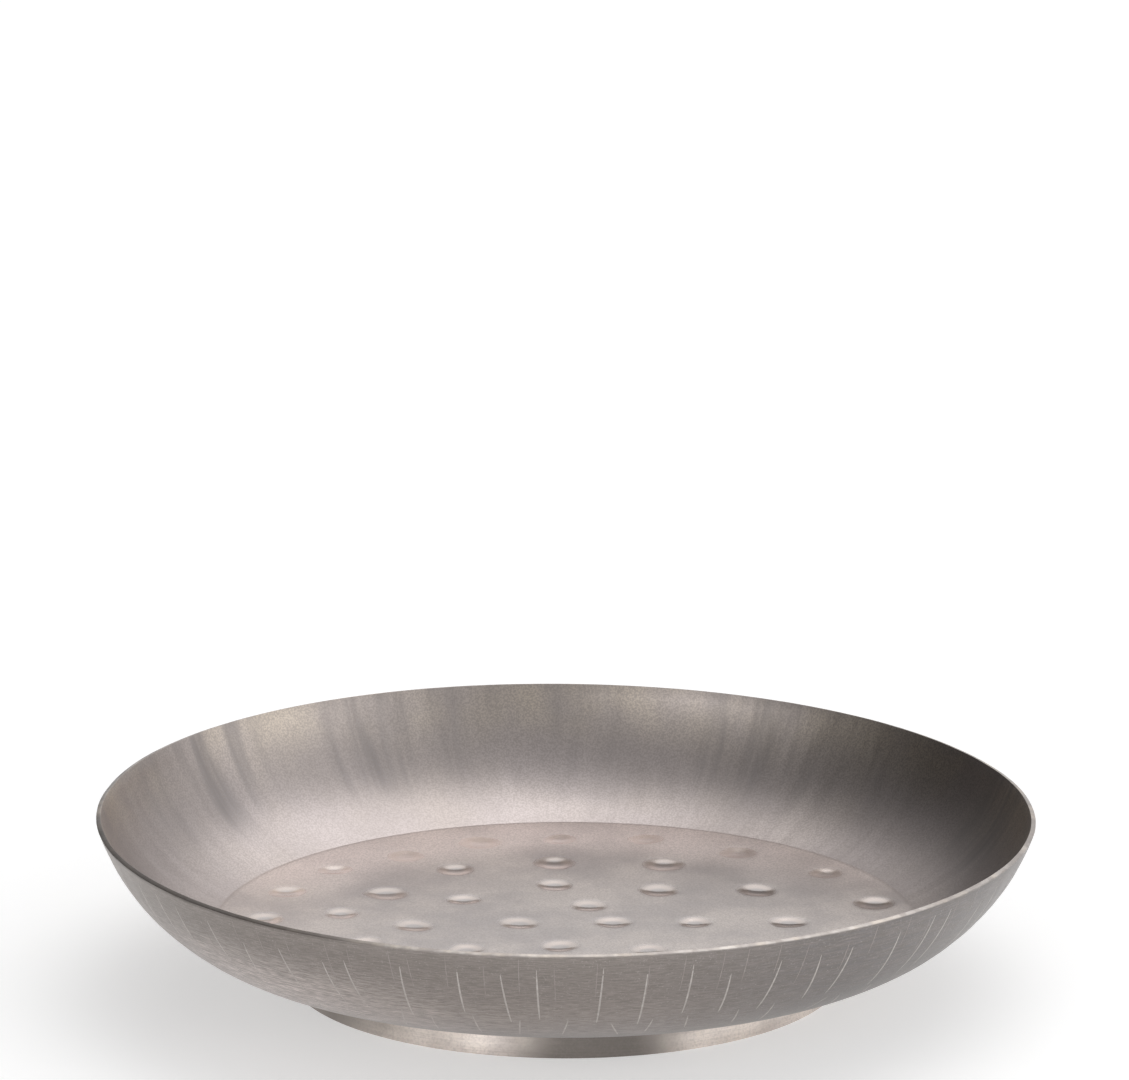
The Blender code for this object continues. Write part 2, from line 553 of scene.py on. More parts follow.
# The floor's own waves, the still band next to the crease, and the flat seat of the foot under the floor.
FLOOR_WAVES = 95.0
STILL_FROM = 56.0 * MM
STILL_TO = 60.0 * MM
SEAT_REACH = 2.5 * MM
SEAT_RUN_OUT = 6.0 * MM
UNDERSIDE_SHARE = 0.5

# The flutes of the wall: how many go round it, the broad ones among them, and how they drift on the way up.
FLUTES_ROUND = 17.0
BROAD_ROUND = 3.5
BROAD_SHARE = 2.5
FLUTE_DRIFT = 6.0

# The strokes: scatter between neighbours, the part of the wall that they keep to, how they taper, how far
# outside the dish they start before they are dropped onto it, and the sides of a burr.
STROKE_SCATTER = 0.32
STROKES_FROM = 0.01
STROKES_TO = 0.985
TIP_WIDTH = 0.02
TAPER = 0.45
RAY_START = 2.0 * MM
BURR_SIDES = 6


def turn_outline_group():
    """Turns an outline in the X and Z plane once round the upright axis."""
    tree, given, result = new_group(
        "Turn outline", "GeometryNodeTree",
        {"geometry": ("Outline",), "int": ("Round Steps",)}, {"geometry": ("Mesh",)},
    )
    size = add_node(tree, "GeometryNodeAttributeDomainSize", {"Geometry": given["Outline"]})
    count = size.outputs["Point Count"]
    columns = plus(tree, given["Round Steps"], 1.0)
    links = {"Vertices X": columns, "Vertices Y": count}
    grid = add_node(tree, "GeometryNodeMeshGrid", links).outputs["Mesh"]
    index = tree.nodes.new("GeometryNodeInputIndex").outputs[0]
    column = calc(tree, "FLOOR", over(tree, plus(tree, index, 0.5), count))
    row = minus(tree, index, times(tree, column, count))
    angle = times(tree, over(tree, column, given["Round Steps"]), 2.0 * pi)
    point = separate(tree, sample(tree, given["Outline"], position(tree), row, "FLOAT_VECTOR"))
    place = combine(
        tree,
        times(tree, point["X"], calc(tree, "COSINE", angle)),
        times(tree, point["X"], calc(tree, "SINE", angle)),
        point["Z"],
    )
    part = sample(tree, given["Outline"], named(tree, "part"), row, "FLOAT")
    kept = store(tree, grid, "part", part)
    feed(tree, result["Mesh"], move(tree, kept, Position=place))
    return tree


def turn_outline(tree, given):
    """Turn the outline that a tree is given, in as many steps as it says."""
    links = {name: given[name] for name in ("Outline", "Round Steps")}
    return place_group(tree, shared_group(turn_outline_group), links)["Mesh"]


def round_sheet_group():
    """A level round sheet of four-sided faces whose edge meets a ring of four times its side's steps."""
    tree, given, result = new_group(
        "Round sheet", "GeometryNodeTree",
        {"float": ("Radius", "Height", "Part"), "int": ("Side Steps",)}, {"geometry": ("Mesh",)},
    )
    corners = plus(tree, given["Side Steps"], 1.0)
    links = {"Size X": 2.0, "Size Y": 2.0, "Vertices X": corners, "Vertices Y": corners}
    grid = add_node(tree, "GeometryNodeMeshGrid", links).outputs["Mesh"]
    x, y, _ = separate(tree, position(tree))
    upright = calc(tree, "GREATER_THAN", calc(tree, "ABSOLUTE", y), calc(tree, "ABSOLUTE", x))
    major = add_node(tree, "ShaderNodeMix", {"Factor": upright, "A": x, "B": y}).outputs["Result"]
    minor = add_node(tree, "ShaderNodeMix", {"Factor": upright, "A": y, "B": x}).outputs["Result"]
    angle = times(tree, over(tree, minor, major), pi / 4.0)
    reach = times(tree, major, given["Radius"])
    along = times(tree, reach, calc(tree, "COSINE", angle))
    across = times(tree, reach, calc(tree, "SINE", angle))
    place = combine(
        tree,
        add_node(tree, "ShaderNodeMix", {"Factor": upright, "A": along, "B": across}).outputs["Result"],
        add_node(tree, "ShaderNodeMix", {"Factor": upright, "A": across, "B": along}).outputs["Result"],
        given["Height"],
    )
    kept = store(tree, grid, "part", given["Part"])
    feed(tree, result["Mesh"], move(tree, kept, Position=place))
    return tree


def hammer_marks_group():
    """The height that the nearest hammer mark adds to the floor, and how far into that mark a point is."""
    tree, given, result = new_group(
        "Hammer marks", "GeometryNodeTree",
        {"object": ("Marks",), "float": ("Reach", "Depth", "Lip", "Variety", "Softness"), "int": ("Seed",)},
        {"float": ("Rise", "Into")},
    )
    marks = add_node(tree, "GeometryNodeObjectInfo", {"Object": given["Marks"]}).outputs["Geometry"]
    x, y, _ = separate(tree, position(tree))
    here = combine(tree, x, y, 0.0)
    links = {"Geometry": marks, "Sample Position": here}
    nearest = add_node(tree, "GeometryNodeSampleNearest", links, domain="POINT").outputs["Index"]
    middle = sample(tree, marks, position(tree), nearest, "FLOAT_VECTOR")

    def pick(low, high, salt):
        return chance(tree, low, high, nearest, given["Seed"], salt)

    spread = given["Variety"]
    size = times(tree, given["Reach"], times_plus(tree, pick(-1.0, 1.0, 1), spread, 1.0))
    deep = times(tree, given["Depth"], times_plus(tree, pick(-1.0, 1.0, 2), spread, 1.0))
    turn = pick(0.0, pi, 3)
    squash = pick(MARK_ROUNDNESS, 1.0, 4)
    across, along, _ = separate(tree, turned(tree, vector_calc(tree, "SUBTRACT", here, middle), turn))
    distance = vector_calc(tree, "LENGTH", combine(tree, across, over(tree, along, squash), 0.0))
    ragged = times_plus(tree, noise(tree, here, RAGGED_SCALE, 1.0), RAGGED_SHARE, 1.0 - 0.5 * RAGGED_SHARE)
    into = times(tree, over(tree, distance, size), ragged)

    inside = calc(tree, "MAXIMUM", minus(tree, 1.0, times(tree, into, into)), 0.0)
    hollow = calc(tree, "POWER", inside, given["Softness"])
    from_lip = over(tree, minus(tree, into, LIP_AT), LIP_WIDTH)
    lip = calc(tree, "EXPONENT", times(tree, from_lip, from_lip, -1.0))
    rise = minus(tree, times(tree, lip, given["Lip"]), times(tree, hollow, deep))
    feed(tree, result["Rise"], rise)
    feed(tree, result["Into"], into)
    return tree


def dish_group():
    """The whole dish: its outline turned, closed by two round sheets, hammered, fluted and untrue."""
    tree, given, result = new_group(
        "Raised dish", "GeometryNodeTree",
        {
            "geometry": ("Outline",),
            "object": ("Marks",),
            "int": ("Round Steps", "Mark Seed"),
            "float": (
                "Rim Height", "Floor Radius", "Floor Height", "Underside Radius", "Underside Height",
                "Foot Radius", "Mark Reach", "Mark Depth", "Mark Lip", "Mark Variety", "Mark Softness",
                "Flute", "Uneven", "Rim Tilt", "Rim Saddle",
            ),
            "material": ("Outside Metal", "Rim Metal", "Inside Metal", "Floor Metal"),
        },
        {"geometry": ("Dish",)},
    )
    wall = turn_outline(tree, given)
    side_steps = over(tree, given["Round Steps"], 4.0)
    sheets = []
    for name, part in (("Underside", PART_UNDERSIDE), ("Floor", PART_FLOOR)):
        links = {
            "Radius": given[name + " Radius"], "Height": given[name + " Height"], "Part": part,
            "Side Steps": side_steps,
        }
        sheets.append(place_group(tree, shared_group(round_sheet_group), links)["Mesh"])
    underside, floor = sheets
    flipped = add_node(tree, "GeometryNodeFlipFaces", {"Mesh": underside}).outputs[0]
    join = tree.nodes.new("GeometryNodeJoinGeometry")
    for piece in (flipped, floor, wall):
        tree.links.new(piece, join.inputs[0])
    whole = merge(tree, join.outputs[0], SAME_SPOT)
    radius, z, way_x, way_y = polar(tree, position(tree))
    whole = store(tree, whole, "radius", radius)
    whole = store(tree, whole, "height", z)

    names = ("Reach", "Depth", "Lip", "Variety", "Softness", "Seed")
    links = {"Marks": given["Marks"], **{name: given["Mark " + name] for name in names}}
    marks = place_group(tree, hammer_marks_group(), links)
    whole = store(tree, whole, "into_mark", marks["Into"])
    on_floor = calc(tree, "LESS_THAN", radius, minus(tree, given["Floor Radius"], 0.1 * MM))
    below = calc(tree, "GREATER_THAN", named(tree, "part"), 0.5 * (PART_FLOOR + PART_UNDERSIDE))
    from_foot = calc(tree, "ABSOLUTE", minus(tree, radius, given["Foot Radius"]))
    under_share = times(tree, remap(tree, from_foot, SEAT_REACH, SEAT_RUN_OUT), UNDERSIDE_SHARE)
    depth_share = plus(tree, times(tree, below, minus(tree, under_share, 1.0)), 1.0)
    rise = times(tree, marks["Rise"], on_floor, depth_share)
    waves = minus(tree, noise(tree, position(tree), FLOOR_WAVES, 1.0), 0.5)
    uneven = times(tree, waves, given["Uneven"], remap(tree, radius, STILL_FROM, STILL_TO, 1.0, 0.0))
    uneven = times(tree, uneven, times(tree, on_floor, depth_share))

    up_share = remap(tree, z, given["Floor Height"], given["Rim Height"], smooth=False)
    tilt = times(tree, way_x, given["Rim Tilt"], -1.0)
    saddle = times(tree, way_x, way_y, times(tree, given["Rim Saddle"], -2.0))
    sway = times(tree, plus(tree, tilt, saddle), up_share)

    around = combine(tree, way_x, way_y, times(tree, z, FLUTE_DRIFT))
    flutes = minus(tree, noise(tree, around, FLUTES_ROUND, 1.5), 0.5)
    broad = minus(tree, noise(tree, around, BROAD_ROUND, 1.0), 0.5)
    flute_share = times(tree, remap(tree, up_share, 0.02, 0.3), remap(tree, up_share, 0.75, 1.0, 1.0, 0.35))
    push = times_plus(tree, broad, BROAD_SHARE, flutes)
    push = times(tree, push, given["Flute"], times(tree, flute_share, 2.0))
    shift = combine(
        tree,
        times(tree, way_x, push),
        times(tree, way_y, push),
        plus(tree, sway, plus(tree, rise, uneven)),
    )
    whole = move(tree, whole, Offset=shift)
    whole = set_material(tree, whole, given["Outside Metal"])
    whole = set_material(tree, whole, given["Rim Metal"], part_is(tree, PART_RIM))
    whole = set_material(tree, whole, given["Inside Metal"], part_is(tree, PART_INSIDE))
    whole = set_material(tree, realize(tree, whole), given["Floor Metal"], part_is(tree, PART_FLOOR))
    feed(tree, result["Dish"], whole)
    return tree


def ring_group():
    """A closed outline turned into a ring whose width wanders a little, as handwork does."""
    tree, given, result = new_group(
        "Hand made ring", "GeometryNodeTree",
        {
            "geometry": ("Outline",), "int": ("Round Steps",), "material": ("Metal",),
            "float": ("Middle Radius", "Level", "Wander", "Ripple"),
        },
        {"geometry": ("Ring",)},
    )
    ring = merge(tree, turn_outline(tree, given), SAME_SPOT_ON_RING)
    radius, z, way_x, way_y = polar(tree, position(tree))
    around = combine(tree, way_x, way_y, 0.0)
    slow = times(tree, minus(tree, noise(tree, around, 1.6, 1.0), 0.5), given["Wander"])
    from_middle = minus(tree, radius, given["Middle Radius"])
    ripple = times(tree, minus(tree, noise(tree, around, 22.0, 2.0), 0.5), given["Ripple"])
    push = times_plus(tree, ripple, from_middle, times(tree, slow, 2.0))
    lift = times(tree, minus(tree, z, given["Level"]), ripple)
    shift = combine(tree, times(tree, way_x, push), times(tree, way_y, push), lift)
    ring = realize(tree, move(tree, ring, Offset=shift))
    feed(tree, result["Ring"], set_material(tree, ring, given["Metal"]))
    return tree


def strokes_group():
    """Chased strokes: thin burrs that follow the wall's outline, spread round one band of it."""
    tree, given, result = new_group(
        "Chased strokes", "GeometryNodeTree",
        {
            "geometry": ("Outline",), "object": ("Dish",), "int": ("Count", "Steps", "Seed"),
            "float": ("Middle", "Middle Spread", "Length", "Length Spread", "Slant", "Width", "Proud"),
            "material": ("Metal",),
        },
        {"geometry": ("Strokes",)},
    )
    total = times(tree, given["Count"], given["Steps"])
    points = add_node(tree, "GeometryNodePoints", {"Count": total}).outputs[0]
    index = tree.nodes.new("GeometryNodeInputIndex").outputs[0]
    stroke = calc(tree, "FLOOR", over(tree, plus(tree, index, 0.5), given["Steps"]))
    step = minus(tree, index, times(tree, stroke, given["Steps"]))
    along = minus(tree, over(tree, step, minus(tree, given["Steps"], 1.0)), 0.5)

    def pick(low, high, salt):
        return chance(tree, low, high, stroke, given["Seed"], salt)

    outline = add_node(tree, "GeometryNodeMeshToCurve", {"Mesh": given["Outline"]}).outputs[0]
    middle = times_plus(tree, pick(-1.0, 1.0, 1), given["Middle Spread"], given["Middle"])
    reach = times_plus(tree, pick(-1.0, 1.0, 2), given["Length Spread"], given["Length"])
    factor = times_plus(tree, along, reach, middle)
    factor = calc(tree, "MINIMUM", calc(tree, "MAXIMUM", factor, STROKES_FROM), STROKES_TO)
    links = {"Curves": outline, "Factor": factor}
    place = add_node(tree, "GeometryNodeSampleCurve", links, mode="FACTOR").outputs
    turn = over(tree, plus(tree, stroke, pick(-STROKE_SCATTER, STROKE_SCATTER, 3)), given["Count"])
    turn = times(tree, turn, 2.0 * pi)
    slant = times(tree, along, given["Slant"], pick(-1.0, 1.0, 4))
    angle = plus(tree, turn, slant)
    flat = separate(tree, place["Position"])
    run = separate(tree, place["Tangent"])
    outward = combine(tree, run["Z"], 0.0, times(tree, run["X"], -1.0))
    clear = vector_calc(tree, "MULTIPLY", outward, (RAY_START,) * 3)
    start = vector_calc(tree, "ADD", combine(tree, flat["X"], 0.0, flat["Z"]), clear)
    inward = vector_calc(tree, "MULTIPLY", outward, (-1.0,) * 3)
    target = add_node(tree, "GeometryNodeObjectInfo", {"Object": given["Dish"]}).outputs["Geometry"]
    hit = add_node(
        tree, "GeometryNodeRaycast",
        {
            "Target Geometry": target, "Source Position": turned(tree, start, angle),
            "Ray Direction": turned(tree, inward, angle), "Ray Length": 2.0 * RAY_START,
        },
    ).outputs
    points = store(tree, points, "stroke", stroke)
    points = store(tree, points, "outward", hit["Hit Normal"], "FLOAT_VECTOR")
    points = move(tree, points, Position=hit["Hit Position"])
    links = {"Points": points, "Curve Group ID": named(tree, "stroke"), "Weight": index}
    curves = add_node(tree, "GeometryNodePointsToCurves", links).outputs[0]
    links = {"Curve": curves, "Normal": named(tree, "outward", "FLOAT_VECTOR")}
    curves = add_node(tree, "GeometryNodeSetCurveNormal", links, mode="FREE").outputs[0]
    so_far = tree.nodes.new("GeometryNodeSplineParameter").outputs["Factor"]
    belly = times(tree, so_far, minus(tree, 1.0, so_far), 4.0)
    thick = calc(tree, "POWER", calc(tree, "MAXIMUM", belly, TIP_WIDTH), TAPER)
    links = {"Resolution": BURR_SIDES, "Radius": 1.0}
    circle = add_node(tree, "GeometryNodeCurvePrimitiveCircle", links).outputs["Curve"]
    x, y, _ = separate(tree, position(tree))
    half_width = times(tree, given["Width"], 0.5)
    oval = combine(tree, times(tree, x, given["Proud"]), times(tree, y, half_width), 0.0)
    profile = move(tree, circle, Position=oval)
    links = {"Curve": curves, "Profile Curve": profile, "Scale": thick, "Fill Caps": True}
    burr = add_node(tree, "GeometryNodeCurveToMesh", links).outputs[0]
    feed(tree, result["Strokes"], set_material(tree, realize(tree, burr), given["Metal"]))
    return tree


# ---------------------------------------------------------------- shader groups


def grain_shader():
    """Fine even grain of a satin finish."""
    tree, given, result = new_group(
        "Satin grain", "ShaderNodeTree",
        {"vector": ("Place",), "float": ("Size",)}, {"float": ("Grain",)},
    )
    scale = over(tree, 1.0, given["Size"])
    feed(tree, result["Grain"], noise(tree, given["Place"], scale, 2.0, 0.6))
    return tree


def brushing_shader():
    """Fine lines that run round the axis, as from an abrasive held against a turning piece."""
    tree, given, result = new_group(
        "Turned brushing", "ShaderNodeTree",
        {"vector": ("Place",), "float": ("Spacing", "Run")}, {"float": ("Lines",)},
    )
    radius, height, way_x, way_y = polar(tree, given["Place"])
    up = over(tree, plus(tree, radius, height), given["Spacing"])
    place = combine(
        tree, up, times(tree, way_x, given["Run"]), times(tree, way_y, given["Run"])
    )
    feed(tree, result["Lines"], noise(tree, place, 1.0, 3.0, 0.6))
    return tree


def streak_shader():
    """Soft streaks that run from the floor to the rim, as raising and polishing leave them."""
    tree, given, result = new_group(
        "Wall streaks", "ShaderNodeTree",
        {"vector": ("Place",), "float": ("Count", "Drift")}, {"float": ("Streak", "Broad")},
    )
    _, height, way_x, way_y = polar(tree, given["Place"])
    drift = times(tree, height, given["Drift"])
    place = combine(
        tree, times(tree, way_x, given["Count"]), times(tree, way_y, given["Count"]), drift
    )
    feed(tree, result["Streak"], noise(tree, place, 1.0, 2.5, 0.55))
    feed(tree, result["Broad"], noise(tree, place, 0.16, 1.5, 0.5))
    return tree


def ageing_shader():
    """Clean metal that goes dull and takes a tint in cloudy patches."""
    tree, given, result = new_group(
        "Aged silver", "ShaderNodeTree",
        {
            "vector": ("Place",), "colour": ("Clean", "Dull", "Tint"),
            "float": ("Patch Size", "Dulling", "Tinting"),
        },
        {"colour": ("Colour",), "float": ("Dullness",)},
    )
    scale = over(tree, 1.0, given["Patch Size"])
    clouds = noise(tree, given["Place"], scale, 4.0, 0.6)
    dullness = times(tree, remap(tree, clouds, 0.35, 0.68), given["Dulling"])
    offset_place = vector_calc(tree, "ADD", given["Place"], (0.31, 0.17, 0.05))
    tints = remap(tree, noise(tree, offset_place, times(tree, scale, 0.8), 3.0, 0.55), 0.45, 0.7)
    dulled_and_shaded = mix_colour(tree, dullness, given["Clean"], given["Dull"])
    tinted = mix_colour(tree, times(tree, tints, given["Tinting"]), dulled_and_shaded, given["Tint"])
    feed(tree, result["Colour"], tinted)
    feed(tree, result["Dullness"], dullness)
    return tree


def mix_colour(tree, factor, first, second):
    """Mix two colours."""
    return feed_shown(tree, add_node(tree, "ShaderNodeMix", data_type="RGBA"), (factor, first, second))


# ---------------------------------------------------------------- materials


SHARED_GROUPS = {
    turn_outline_group: "Turn outline",
    round_sheet_group: "Round sheet",
    ring_group: "Hand made ring",
    grain_shader: "Satin grain",
    brushing_shader: "Turned brushing",
    streak_shader: "Wall streaks",
    ageing_shader: "Aged silver",
}


def shared_group(maker):
    """A group that is built once and used by every tree that needs it."""
    return bpy.data.node_groups.get(SHARED_GROUPS[maker]) or maker()


def metal_material(name):
    """A metal material with its tree, its shader, and the place of each point on the piece."""
    material = bpy.data.materials.new(name)
    material.use_nodes = True
    tree = material.node_tree
    shader = tree.nodes["Principled BSDF"]
    shader.inputs["Metallic"].default_value = 1.0
    place = tree.nodes.new("ShaderNodeTexCoord").outputs["Object"]
    return material, tree, shader, place


def grain_of(tree, place, size):
    """Satin grain of a size."""
    return place_group(tree, shared_group(grain_shader), {"Place": place, "Size": size})["Grain"]


def brushing_of(tree, place, spacing, run):
    """Lines round the axis, a spacing apart; a higher run makes them shorter."""
    links = {"Place": place, "Spacing": spacing, "Run": run}
    return place_group(tree, shared_group(brushing_shader), links)["Lines"]


def aged_metal(tree, place, shades, patch_size, dulling, tinting):
    """Metal in its clean, dull and tinted shades, in patches."""
    links = {"Place": place, "Patch Size": patch_size, "Dulling": dulling, "Tinting": tinting}
    links.update(zip(("Clean", "Dull", "Tint"), shades))
    return place_group(tree, shared_group(ageing_shader), links)


def dress(tree, shader, colour, roughness):
    """Give a shader its colour and its roughness."""
    tree.links.new(colour, shader.inputs["Base Color"])
    tree.links.new(roughness, shader.inputs["Roughness"])


def relief(tree, shader, height, depth):
    """Give a shader the fine relief of a height from 0 to 1."""
    bump = add_node(tree, "ShaderNodeBump", {"Strength": 1.0, "Distance": depth, "Height": height})
    tree.links.new(bump.outputs["Normal"], shader.inputs["Normal"])


def kept_value(tree, name):
    """A value kept on the points of the mesh."""
    return add_node(tree, "ShaderNodeAttribute", attribute_name=name).outputs["Fac"]


def blend_values(tree, first, weight, second, other_weight):
    """A weighted sum of two values."""
    return times_plus(tree, first, weight, times(tree, second, other_weight))


def inside_metal(colours):
    """The wall inside: satin, with soft streaks up the wall and a straw tint that grows towards the rim."""
    material, tree, shader, place = metal_material("inside_wall_silver")
    grain = grain_of(tree, place, 0.32 * MM)
    streaks = place_group(tree, shared_group(streak_shader), {"Place": place, "Count": 20.0, "Drift": 30.0})
    aged = aged_metal(tree, place, (colours.clean, colours.grey, colours.warm), 24.0 * MM, 0.3, 0.2)
    height = kept_value(tree, "height")
    clouds = remap(tree, noise(tree, place, 60.0, 3.0), 0.35, 0.65, 0.2, 1.0)
    near_rim = times(tree, remap(tree, height, 16.0 * MM, 27.0 * MM), clouds)
    straw = mix_colour(tree, near_rim, aged["Colour"], colours.warm)
    bundles = remap(tree, streaks["Broad"], 0.42, 0.6)
    high_up = remap(tree, height, 11.0 * MM, 17.0 * MM)
    shade = times(tree, remap(tree, streaks["Streak"], 0.38, 0.74), bundles, high_up)
    streaked = mix_colour(tree, times(tree, shade, 0.65), straw, colours.slate)
    flecked = mix_colour(tree, times(tree, remap(tree, grain, 0.38, 0.62), 0.55), streaked, colours.grey)
    rough = times_plus(tree, shade, 0.05, 0.36)
    dress(tree, shader, flecked, times_plus(tree, aged["Dullness"], 0.08, rough))
    relief(tree, shader, blend_values(tree, grain, 0.4, streaks["Streak"], 2.4), 0.035 * MM)
    return material


def floor_metal(colours, crease):
    """The floor: satin, burnished in the hammer marks, pink on their lips partly as a painted highlight, a
    painted shade line at the crease, and rosy at the back.
    """
    material, tree, shader, place = metal_material("hammered_floor_silver")
    grain = grain_of(tree, place, 0.3 * MM)
    aged = aged_metal(tree, place, (colours.polished, colours.strip, colours.cool), 15.0 * MM, 0.4, 0.1)
    radius = kept_value(tree, "radius")
    into = kept_value(tree, "into_mark")
    struck = remap(tree, into, 0.55, 1.0, 1.0, 0.0)
    burnished = mix_colour(tree, struck, aged["Colour"], colours.struck)
    _, back, _ = separate(tree, place)
    outer_band = remap(tree, radius, 0.64 * crease, 0.82 * crease)
    clouds = remap(tree, noise(tree, place, 70.0, 3.0), 0.3, 0.6, 0.6, 1.0)
    heated = times(tree, outer_band, clouds, remap(tree, back, 12.0 * MM, 36.0 * MM))
    bloomed = mix_colour(tree, heated, burnished, colours.rosy)
    # Partly painted highlight: a brighter pink ring in each mark stands in for the light it reflects, partly
    # pink tarnish.
    mark_highlight_ring = times(tree, remap(tree, into, 0.25, 0.5), remap(tree, into, 0.6, 0.9, 1.0, 0.0))
    wear_and_highlight = mix_colour(tree, times(tree, mark_highlight_ring, 0.6), bloomed, colours.rose)
    # Painted shade: a thin grey line along the crease.
    from_crease = calc(tree, "ABSOLUTE", minus(tree, radius, crease))
    crease_shaded = mix_colour(tree, remap(tree, from_crease, 0.2 * MM, 1.0 * MM, 0.45, 0.0), wear_and_highlight, colours.grey)
    burnish = times(tree, struck, times_plus(tree, heated, -0.35, 1.0))
    satin = minus(tree, 1.0, burnish)
    flecks = times(tree, remap(tree, grain, 0.35, 0.65), 0.42, satin)
    rough = times_plus(tree, aged["Dullness"], 0.08, 0.18)
    flecked = mix_colour(tree, flecks, crease_shaded, colours.grey)
    dress(tree, shader, flecked, times_plus(tree, satin, rough, 0.13))
    relief(tree, shader, grain, 0.002 * MM)
    return material


def outside_metal(colours):
    """The wall outside: brushed round, greyer and darker high up (partly painted shade), painted shade on
    the right, painted highlights low on the left and along its lowest edge, a painted shadow under the left
    rim.
    """
    material, tree, shader, place = metal_material("outside_wall_silver")
    grain = grain_of(tree, place, 0.35 * MM)
    lines = brushing_of(tree, place, 0.3 * MM, 9.0)
    threads = brushing_of(tree, place, 0.2 * MM, 34.0)
    aged = aged_metal(tree, place, (colours.clean, colours.grey, colours.warm), 18.0 * MM, 0.4, 0.2)
    height = kept_value(tree, "height")
    _, _, way_right, _ = polar(tree, place)
    upper = remap(tree, height, 11.0 * MM, 21.0 * MM)
    straw = mix_colour(tree, times(tree, upper, 0.6), aged["Colour"], colours.warm)
    # Greyer all over, and darker high up the wall as painted shade.
    dulled_and_shaded = mix_colour(tree, times_plus(tree, upper, 0.55, 0.3, clamp=True), straw, colours.grey)
    shaded_high_up = mix_colour(tree, remap(tree, height, 16.0 * MM, 26.0 * MM, 0.0, 0.4), dulled_and_shaded, colours.joint)
    # Painted shade: darker and cooler towards the right of the wall.
    shaded_right = mix_colour(tree, remap(tree, way_right, 0.05, 0.7, 0.0, 0.95), shaded_high_up, colours.slate)
    # Painted highlight: lighter and rosier low on the left of the wall.
    left = times(tree, remap(tree, way_right, -0.8, -0.1, 1.0, 0.0), remap(tree, way_right, -1.0, -0.75))
    painted_highlight_share = times(tree, left, remap(tree, height, 14.0 * MM, 25.0 * MM, 1.0, 0.0))
    wear_and_highlight = mix_colour(tree, painted_highlight_share, shaded_right, colours.rosy)
    low_down = times(tree, remap(tree, height, 8.6 * MM, 10.5 * MM, 1.0, 0.0), 0.45)
    cooled = mix_colour(tree, low_down, wear_and_highlight, colours.slate)
    # Painted highlight: a light line along the lowest edge of the wall.
    edge_highlight = remap(tree, height, UNDERSIDE_HEIGHT + 0.1 * MM, UNDERSIDE_HEIGHT + 0.35 * MM, 0.9, 0.0)
    edge_highlit = mix_colour(tree, edge_highlight, cooled, colours.cut)
    # Painted shadow: a dark line just under the left of the rim.
    under_rim = remap(tree, height, RIM_HEIGHT - 1.0 * MM, RIM_HEIGHT - 0.5 * MM)
    rim_shadow_share = times(tree, under_rim, remap(tree, way_right, -0.7, -0.3, 0.9, 0.0))
    rim_shadowed = mix_colour(tree, rim_shadow_share, edge_highlit, colours.soot)
    brushed = mix_colour(tree, times(tree, remap(tree, lines, 0.4, 0.62), 0.55), rim_shadowed, colours.grey)
    threaded = mix_colour(tree, times(tree, remap(tree, threads, 0.4, 0.6), 0.6), brushed, colours.joint)
    flecked = mix_colour(tree, times(tree, remap(tree, grain, 0.55, 0.8), 0.3), threaded, colours.cut)
    dress(tree, shader, flecked, times_plus(tree, lines, 0.12, 0.32))
    relief(tree, shader, blend_values(tree, grain, 0.7, threads, 1.2), 0.02 * MM)
    return material


def rim_metal(colours):
    """The cut edge of the rim, rubbed brighter in places, with a painted shadow at the front left."""
    material, tree, shader, place = metal_material("rim_silver")
    grain = grain_of(tree, place, 0.5 * MM)
    aged = aged_metal(tree, place, (colours.rim, colours.grey, colours.warm), 5.0 * MM, 0.6, 0.6)
    worn = times(tree, remap(tree, noise(tree, place, 420.0, 2.0), 0.5, 0.65), 0.25)
    wear_and_highlight = mix_colour(tree, worn, aged["Colour"], colours.cut)
    _, _, way_right, way_back = polar(tree, place)
    # Painted shadow: darker at the front left of the rim.
    in_front = remap(tree, way_back, -0.15, 0.05, 1.0, 0.0)
    rim_shadow_share = times(tree, in_front, remap(tree, way_right, -0.6, -0.25, 0.8, 0.0))
    rim_shadowed = mix_colour(tree, rim_shadow_share, wear_and_highlight, colours.soot)
    dress(tree, shader, rim_shadowed, times_plus(tree, aged["Dullness"], 0.2, 0.32))
    relief(tree, shader, grain, 0.03 * MM)
    return material


def stroke_metal(colours, name, wear):
    """Bright metal of the chased strokes, rubbed dull by wear."""
    material, tree, shader, place = metal_material(name)
    grain = grain_of(tree, place, 0.8 * MM)
    wear_and_highlight = remap(tree, grain, 0.3, 0.65, wear, min(1.0, wear + 0.3))
    worn = mix_colour(tree, wear_and_highlight, colours.cut, colours.grey)
    dress(tree, shader, worn, times_plus(tree, grain, 0.15, 0.3))
    return material


